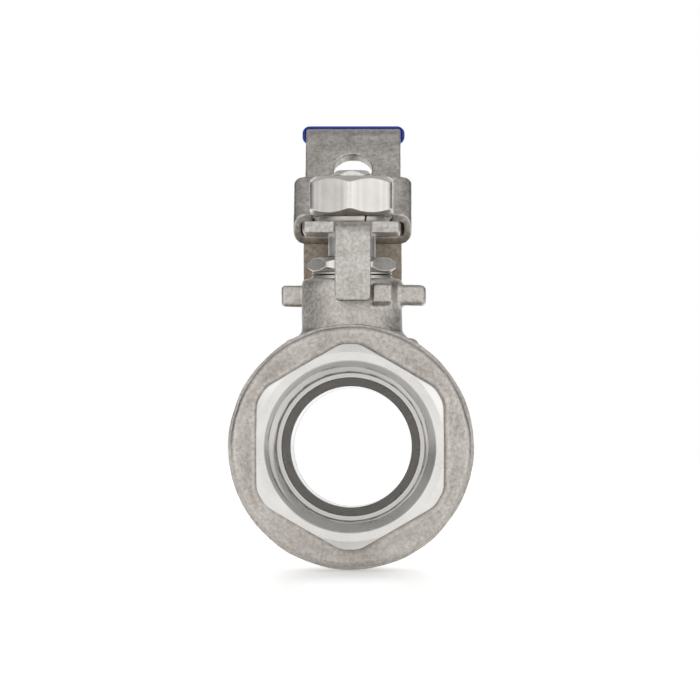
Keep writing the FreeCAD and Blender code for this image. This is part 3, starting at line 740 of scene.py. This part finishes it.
def build_valve_body():
    piece = softened(body_casting(), voxel=0.36, passes=5)
    ripple(piece, lambda place: True, coarse=0.14, fine=0.05, seed=11.0)
    outside = 60.0
    steps = 480
    outlet = [ring_on_y(outside, HALF_LENGTH + 5, steps), ring_on_y(outside, HALF_LENGTH, steps)]
    outlet_cutter = lattice("outlet_cutter", outlet + bore_rings(1, steps), [], closed=False)
    cavity = lathe("cavity_cutter", [
        (outside, BODY_FRONT - 5),
        (outside, BODY_FRONT),
        (JOINT_R + 0.4, BODY_FRONT),
        (JOINT_R, BODY_FRONT + 0.4),
        (JOINT_R, SPIGOT_END + 1.0),
        (CAVITY_R, SPIGOT_END + 1.0),
        (CAVITY_R, CAVITY_END),
        (SEAT_POCKET_R, CAVITY_END),
        (SEAT_POCKET_R, SEAT_BACK),
    ], steps=240)
    stem_hole = lathe("stem_cutter", [
        (COLLAR_BORE_R, 15.0),
        (COLLAR_BORE_R, COLLAR_BORE_TOP),
        (STEM_BORE_R, COLLAR_BORE_TOP),
        (STEM_BORE_R, PACKING_FLOOR),
        (PACKING_R, PACKING_FLOOR),
        (PACKING_R, NECK_TOP - 0.4),
        (PACKING_R + 0.4, NECK_TOP + 0.02),
        (PACKING_R + 0.4, NECK_TOP + 5),
    ], about_z=True)
    for cutter in (outlet_cutter, cavity, stem_hole):
        cut_by(piece, cutter)
    mesh = piece.data
    mesh.materials.clear()
    mesh.materials.append(CAST)
    mesh.materials.append(FACED)
    for face in mesh.polygons:
        centre = face.center / MM
        radius = math.hypot(centre.x, centre.z)
        in_bore = radius < MOUTH_R + 0.2 and abs(centre.y) > SEAT_BACK - 8
        at_end = centre.y > HALF_LENGTH - 0.02
        in_neck = math.hypot(centre.x, centre.y) < PACKING_R + 0.5 and centre.z > COLLAR_BORE_TOP
        face.material_index = int(in_bore or at_end or in_neck)
    mesh.polygons.foreach_set("use_smooth", np.ones(len(mesh.polygons), bool))
    crisp(piece)
    return placed(piece, "valve_casing", "cast_steel", "valve_body")


# ---- stem, nuts and washer ----------------------------------------------------------------
def build_stem():
    """Collar, journal, threaded and flatted shaft, with the tang below."""
    steps = FINE_STEPS
    turn = angles(steps)
    rings = [ring_on_z(radius, z, steps) for radius, z in rounded(
        [
            (0.05, STEM_COLLAR_Z[0]),
            (STEM_COLLAR_R, STEM_COLLAR_Z[0]),
            (STEM_COLLAR_R, STEM_COLLAR_Z[1]),
            (STEM_R, STEM_COLLAR_Z[1]),
            (STEM_R, GROOVE_Z[0]),
            (GROOVE_R, GROOVE_Z[0]),
            (GROOVE_R, GROOVE_Z[1]),
            (STEM_R, GROOVE_Z[1]),
            (STEM_R, JOURNAL_TOP),
            (STEM_THREAD_R, JOURNAL_TOP),
        ],
        [0.3, 0.3, 0.2, 0.1, 0.1, 0.1, 0.1, 0.2],
        3,
    )]
    for z in np.arange(JOURNAL_TOP + 0.05, STEM_TOP - 0.02, STEM_RING_STEP):
        phase = (z / STEM_PITCH - turn / TURN) % 1.0
        wave = np.clip(np.abs(2 * phase - 1) * 1.25 - 0.06, 0, 1)
        low, high = SMOOTH_STEM
        fade = min(np.clip(z - JOURNAL_TOP - 0.3, 0, 1), np.clip(max(low - z, z - high) / 0.5, 0, 1))
        radius = STEM_THREAD_R - (STEM_THREAD_R - STEM_ROOT_R) * wave * fade
        if z > LEVER_BOTTOM:
            flat = (STEM_FLATS / 2) / np.clip(np.abs(np.sin(turn)), 0.05, None)
            radius = soft_low(radius, flat, 0.06)
        radius = soft_low(radius, np.full(steps, STEM_END_R + STEM_TOP - z), 0.1)
        rings.append(ring_on_z(radius, z, steps))
    rings.append(ring_on_z(STEM_END_R - 0.15, STEM_TOP, steps))
    piece = lattice("stem_turned", rings, [NUT_STEEL], closed=False)
    tang = rounded_block("tang", *TANG, 0.3)
    cut_by(piece, tang, "UNION")
    piece.data.polygons.foreach_set("use_smooth", np.ones(len(piece.data.polygons), bool))
    crisp(piece)
    return placed(piece, "lever_and_ball", "turned_steel", "stem")


def build_nut(name, node, across_flats, turned):
    """A hexagon nut with turned chamfers that leave curved edges on its flats."""
    low, high = (corner[2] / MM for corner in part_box(node))
    steps = 432
    turn = angles(steps)
    corner_r = across_flats / math.sqrt(3) - NUT_CORNER_WEAR
    side = hexagon(turn - math.radians(turned), across_flats / 2 - 0.02, corner_r, NUT_CRISPNESS)
    sink_r = NUT_BORE_R + NUT_SINK
    rings = []

    def wall(z):
        edge = min(z - low, high - z)
        cone = NUT_CHAMFER_R + edge / math.tan(math.radians(NUT_CHAMFER_ANGLE))
        return soft_low(side, np.full(steps, cone), 0.1)

    near = np.concatenate([[0.012, 0.04], np.arange(0.09, 1.65, 0.07)])
    heights = np.concatenate([low + near, np.linspace(low + 1.8, high - 1.8, 6), (high - near)[::-1]])
    if high - low < 4:
        heights = np.linspace(low + 0.012, high - 0.012, 44)
    for z in heights:
        rings.append(ring_on_z(wall(z), z, steps))
    face = (NUT_CHAMFER_R - 0.05, NUT_CHAMFER_R - 0.3, (NUT_CHAMFER_R + NUT_BORE_R) / 2, sink_r + 0.05)
    for radius in face:
        rings.append(ring_on_z(radius, high, steps))
    rings.append(ring_on_z(sink_r - 0.04, high - 0.05, steps))
    rings.append(ring_on_z(NUT_BORE_R, high - NUT_SINK, steps))
    rings.append(ring_on_z(NUT_BORE_R, low + NUT_SINK, steps))
    rings.append(ring_on_z(sink_r - 0.04, low + 0.05, steps))
    for radius in reversed(face):
        rings.append(ring_on_z(radius, low, steps))
    piece = lattice(name, rings, [NUT_STEEL])
    crisp(piece, 28)
    return placed(piece, "lever_and_ball", "turned_steel", node)


def build_spring_washer():
    """A ring of rectangular wire with a slanted split, its two ends cut sharp."""
    low, high = (corner[2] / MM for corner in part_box("spring_washer"))
    middle = math.radians(WASHER_SPLIT_ANGLE)
    half_gap = WASHER_SPLIT / 2 / WASHER_R
    corners = [
        (WASHER_BORE_R + 0.5, low),
        (WASHER_R, low),
        (WASHER_R, high),
        (WASHER_BORE_R, high),
        (WASHER_BORE_R, low),
        (WASHER_BORE_R + 0.5, low),
    ]
    section = rounded(corners, [0.3, 0.3, 0.2, 0.2], 5)[:-1]
    rings = []
    for turn in np.linspace(middle + half_gap, middle + TURN - half_gap, 300):
        ring = []
        for radius, z in section:
            slant = (z - (low + high) / 2) * 0.02
            ring.append((radius * math.cos(turn + slant), radius * math.sin(turn + slant), z))
        rings.append(ring)
    piece = lattice("spring_washer_wire", rings, [SPRING], closed=False)
    crisp(piece)
    return placed(piece, "lever_and_ball", "spring_steel", "spring_washer")


# ---- lever, sleeve and slide --------------------------------------------------------------
def worn_copy(name, node, finish, voxel, passes):
    """A piece with a CAD node's shape, evenly meshed and with worn edges."""
    piece = bpy.data.objects.new(name, frame["nodes"][node].data.copy())
    bpy.context.scene.collection.objects.link(piece)
    softened(piece, voxel, passes)
    piece.data.materials.clear()
    piece.data.materials.append(finish)
    return piece


def build_lever():
    piece = worn_copy("lever_strip", "lever", SHEET, voxel=0.3, passes=4)
    ripple(piece, lambda place: True, coarse=0.05, fine=0.015, seed=23.0)
    return placed(piece, "lever_and_ball", "sheet_steel", "lever")


def build_lock_slide():
    piece = worn_copy("lock_slide_sheet", "lock_slide", SHADED_SLIDE_SHEET, voxel=0.2, passes=5)
    ripple(piece, lambda place: True, coarse=0.04, fine=0.02, seed=31.0)
    return placed(piece, "lock_slide", "sheet_steel", "lock_slide")


def rounded_rectangle(half_width, half_height, corner, per_corner=10, per_side=14):
    """Points round a rectangle with arcs at its corners, counter-clockwise from the right side."""
    points = []
    for quarter in range(4):
        sign_x = (1, -1, -1, 1)[quarter]
        sign_z = (1, 1, -1, -1)[quarter]
        centre = np.array([sign_x * (half_width - corner), sign_z * (half_height - corner)])
        for part in np.linspace(0, 1, per_corner):
            turn = (quarter + part) * math.pi / 2
            points.append(centre + corner * np.array([math.cos(turn), math.sin(turn)]))
        next_x = (-1, -1, 1, 1)[quarter]
        next_z = (1, -1, -1, 1)[quarter]
        goal_centre = np.array([next_x * (half_width - corner), next_z * (half_height - corner)])
        turn = (quarter + 1) * math.pi / 2
        goal = goal_centre + corner * np.array([math.cos(turn), math.sin(turn)])
        start = points[-1]
        for part in np.linspace(0, 1, per_side + 1)[1:-1]:
            points.append(start + (goal - start) * part)
    return np.array(points)


def build_sleeve():
    """The dipped vinyl sleeve: full edges, a soft lip and a rounded tip, hollow round the grip."""
    start = SLEEVE_START
    end = GRIP_START + (LEVER_REACH - GRIP_START) / math.cos(GRIP_RISE) + 2 * SLEEVE_WALL
    half_width = SLEEVE_HALF_WIDTH - 0.02
    half_height = LEVER_THICKNESS / 2 + SLEEVE_WALL - 0.02
    below = LEVER_THICKNESS / 2 + SLEEVE_SAG
    rings = []

    def add(width, height, corner, y):
        shape = rounded_rectangle(width, height, min(corner, height - 0.02, width - 0.02))
        along = y - GRIP_START
        above = shape[:, 1] - below
        tilted_y = GRIP_START + along * math.cos(GRIP_RISE) - above * math.sin(GRIP_RISE)
        tilted_z = GRIP_TOP + along * math.sin(GRIP_RISE) + above * math.cos(GRIP_RISE)
        rings.append(np.column_stack([shape[:, 0], tilted_y, tilted_z]))

    def tip(y, reach, radius):
        """How far the plan outline has pulled in at y."""
        inside = max(0.0, y - (reach - radius))
        return radius - math.sqrt(max(radius ** 2 - inside ** 2, 0.0))

    grip_half = LEVER_WIDTH / 2 + SLEEVE_GAP
    grip_half_height = LEVER_THICKNESS / 2 + SLEEVE_GAP
    grip_end = end - 2 * SLEEVE_WALL
    for y in np.linspace(grip_end - 0.05, start + SLEEVE_LIP, 40):
        add(grip_half - tip(y, grip_end, GRIP_TIP_R), grip_half_height, 0.3, y)
    for sweep in np.linspace(0, math.pi, 9)[1:-1]:
        lip = 0.5 - 0.5 * math.cos(sweep)
        width = grip_half + (half_width - grip_half) * lip
        height = grip_half_height + (half_height - grip_half_height) * lip
        add(width, height, 0.3 + 1.3 * lip, start + SLEEVE_LIP - 0.38 * math.sin(sweep))
    tip_start = end - SLEEVE_TIP_R
    for y in np.linspace(start + SLEEVE_LIP, tip_start, 90):
        swell = 0.03 * math.sin(y * 0.31) - 0.03
        add(half_width + swell, half_height + swell, SLEEVE_CORNER, y)
    for sweep in np.linspace(0, math.pi / 2, 22)[1:]:
        y = tip_start + SLEEVE_TIP_R * math.sin(sweep)
        thin = half_height - 1.3 * (1 - math.cos(sweep)) ** 2
        add(half_width - SLEEVE_TIP_R * (1 - math.cos(sweep)), thin, SLEEVE_CORNER, y - 0.03)
    piece = lattice("grip_sleeve", rings, [VINYL], closed=False)
    crisp(piece, 50)
    return placed(piece, "lever_and_ball", "blue_vinyl", "lever_sleeve")


# ---- the inner pieces keep their CAD shapes -----------------------------------------------
def dress_inner_nodes():
    finishes = {
        "ball": BALL,
        "body_gasket": PTFE,
        "seat_ring_inlet": PTFE,
        "seat_ring_outlet": PTFE,
        "thrust_washer": PTFE,
        "packing_ring_lower": PTFE,
        "packing_ring_middle": PTFE,
        "packing_ring_upper": PTFE,
        "stem_o_ring": RUBBER,
        "gland_ring": NUT_STEEL,
        "disc_spring_lower": SPRING,
        "disc_spring_upper": SPRING,
    }
    for node, finish in finishes.items():
        piece = frame["nodes"][node]
        for slot in piece.material_slots:
            slot.material = finish


# ---- stage, light and camera --------------------------------------------------------------
def card(name, size, place, aim, strength):
    """A rectangular area light that faces a point."""
    light = bpy.data.lights.new(name, "AREA")
    light.shape = "RECTANGLE"
    light.size = size[0]
    light.size_y = size[1]
    light.energy = strength
    lamp = bpy.data.objects.new(name, light)
    lamp.location = place
    lamp.rotation_euler = (Vector(aim) - Vector(place)).to_track_quat("-Z", "Y").to_euler()
    bpy.context.scene.collection.objects.link(lamp)


def floor_sheet(reach):
    """A glossy square floor, reach metres to each side, and its shader."""
    mesh = bpy.data.meshes.new("floor")
    corners = [(x * reach, y * reach, FLOOR_Z) for x, y in ((-1, -1), (1, -1), (1, 1), (-1, 1))]
    mesh.from_pydata(corners, [], [(0, 1, 2, 3)])
    surface = bpy.data.materials.new("floor")
    surface.use_nodes = True
    shader = surface.node_tree.nodes["Principled BSDF"]
    shader.inputs["Base Color"].default_value = (0.8, 0.8, 0.8, 1)
    shader.inputs["Roughness"].default_value = 0.3
    shader.inputs["Emission Strength"].default_value = 0.5
    shade_under(surface.node_tree, shader)
    mesh.materials.append(surface)
    sheet = bpy.data.objects.new("floor", mesh)
    bpy.context.scene.collection.objects.link(sheet)


def studio_world():
    """White to the camera. To the metal: bright in front and straight behind, half bright from above,
    dark beside and behind lower down, and dim at the far left."""
    world = bpy.data.worlds.new("studio")
    bpy.context.scene.world = world
    world.use_nodes = True
    tree = world.node_tree
    tree.nodes.clear()
    place = tree.nodes.new("ShaderNodeTexCoord")
    split = tree.nodes.new("ShaderNodeSeparateXYZ")
    tree.links.new(place.outputs["Generated"], split.inputs["Vector"])

    def ramp(value, stops):
        node = tree.nodes.new("ShaderNodeValToRGB")
        node.color_ramp.interpolation = "EASE"
        for index, (position, tone) in enumerate(stops):
            element = node.color_ramp.elements[index] if index < 2 else node.color_ramp.elements.new(position)
            element.position = position
            element.color = (tone, tone, tone, 1)
        tree.links.new(value, node.inputs["Fac"])
        return node.outputs["Color"]

    def shifted(value):
        """Turns a direction's -1 to 1 into 0 to 1."""
        node = tree.nodes.new("ShaderNodeMapRange")
        node.inputs["From Min"].default_value = -1.0
        tree.links.new(value, node.inputs["Value"])
        return node.outputs["Result"]

    def combined(first, second, blend):
        node = tree.nodes.new("ShaderNodeMix")
        node.data_type = "RGBA"
        node.blend_type = blend
        node.inputs[0].default_value = 1.0
        tree.links.new(first, node.inputs[6])
        tree.links.new(second, node.inputs[7])
        return node.outputs[2]

    up = ramp(shifted(split.outputs["Z"]), [(0.0, 1.0), (0.6, 1.0), (0.97, 0.8)])
    side = ramp(shifted(split.outputs["X"]), [(0.0, 0.3), (0.03, 0.5), (0.09, 1.0)])
    away = ramp(shifted(split.outputs["Y"]), [
        (0.0, 1.0),
        (0.28, 1.0),
        (0.44, 0.72),
        (0.5, 0.08),
        (0.9, 0.04),
        (0.97, 1.0),
    ])
    above = ramp(shifted(split.outputs["Z"]), [(0.58, 0.0), (0.75, 0.55)])
    around = combined(combined(away, above, "LIGHTEN"), side, "MULTIPLY")
    mirrored = tree.nodes.new("ShaderNodeBackground")
    tree.links.new(combined(around, up, "MULTIPLY"), mirrored.inputs["Color"])
    seen = tree.nodes.new("ShaderNodeBackground")
    seen.inputs["Color"].default_value = (1, 1, 1, 1)
    ray = tree.nodes.new("ShaderNodeLightPath")
    either = tree.nodes.new("ShaderNodeMixShader")
    tree.links.new(ray.outputs["Is Camera Ray"], either.inputs["Fac"])
    tree.links.new(mirrored.outputs["Background"], either.inputs[1])
    tree.links.new(seen.outputs["Background"], either.inputs[2])
    output = tree.nodes.new("ShaderNodeOutputWorld")
    tree.links.new(either.outputs["Shader"], output.inputs["Surface"])


def shade_under(tree, shader):
    """Dims the floor's own light in a soft oval under the valve and in front of it."""
    place = tree.nodes.new("ShaderNodeTexCoord")
    mapping = tree.nodes.new("ShaderNodeMapping")
    mapping.inputs["Location"].default_value = (0.0, 0.45, 0.0)
    mapping.inputs["Scale"].default_value = (1 / 0.020, 1 / 0.12, 0.0)
    oval = tree.nodes.new("ShaderNodeTexGradient")
    oval.gradient_type = "SPHERICAL"
    tone = tree.nodes.new("ShaderNodeValToRGB")
    tone.color_ramp.interpolation = "EASE"
    tone.color_ramp.elements[0].color = (1, 1, 1, 1)
    tone.color_ramp.elements[1].color = (0.62, 0.62, 0.62, 1)
    tree.links.new(place.outputs["Object"], mapping.inputs["Vector"])
    tree.links.new(mapping.outputs["Vector"], oval.inputs["Vector"])
    tree.links.new(oval.outputs["Fac"], tone.inputs["Fac"])
    tree.links.new(tone.outputs["Color"], shader.inputs["Emission Color"])


def build_stage():
    floor_sheet(6.0)
    studio_world()
    card("front_left", (0.35, 0.5), (-0.55, -1.15, 0.5), (0, 0, 0.02), 0.5)
    card("front_right", (0.3, 0.5), (0.65, -1.0, 0.35), (0, 0, 0.02), 0.35)


def build_camera():
    """A long lens level with the pipe axis, a little to its right, aimed a little above it."""
    distance = 1100.0
    frame_width = 700.0
    focal_px = 5445.0
    rise = math.atan(96.8 / focal_px)
    yaw = math.radians(0.6)
    camera = bpy.data.cameras.new("camera")
    camera.sensor_width = 36.0
    camera.lens = camera.sensor_width * focal_px / frame_width
    camera.clip_end = 100.0
    holder = bpy.data.objects.new("camera", camera)
    holder.location = (distance * math.tan(yaw) * MM, -(HALF_LENGTH + distance) * MM, 0)
    holder.rotation_euler = (math.pi / 2 + rise, 0, yaw)
    bpy.context.scene.collection.objects.link(holder)
    bpy.context.scene.camera = holder


bpy.context.scene.view_settings.view_transform = "Standard"
build_camera()
build_stage()
dress_inner_nodes()
build_end_cap()
build_valve_body()
build_stem()
build_nut("gland_nut_hex", "gland_nut", 16.6, 25.5)
build_nut("lever_nut_hex", "lever_nut", 17.4, -2.4)
build_spring_washer()
build_lever()
build_lock_slide()
build_sleeve()
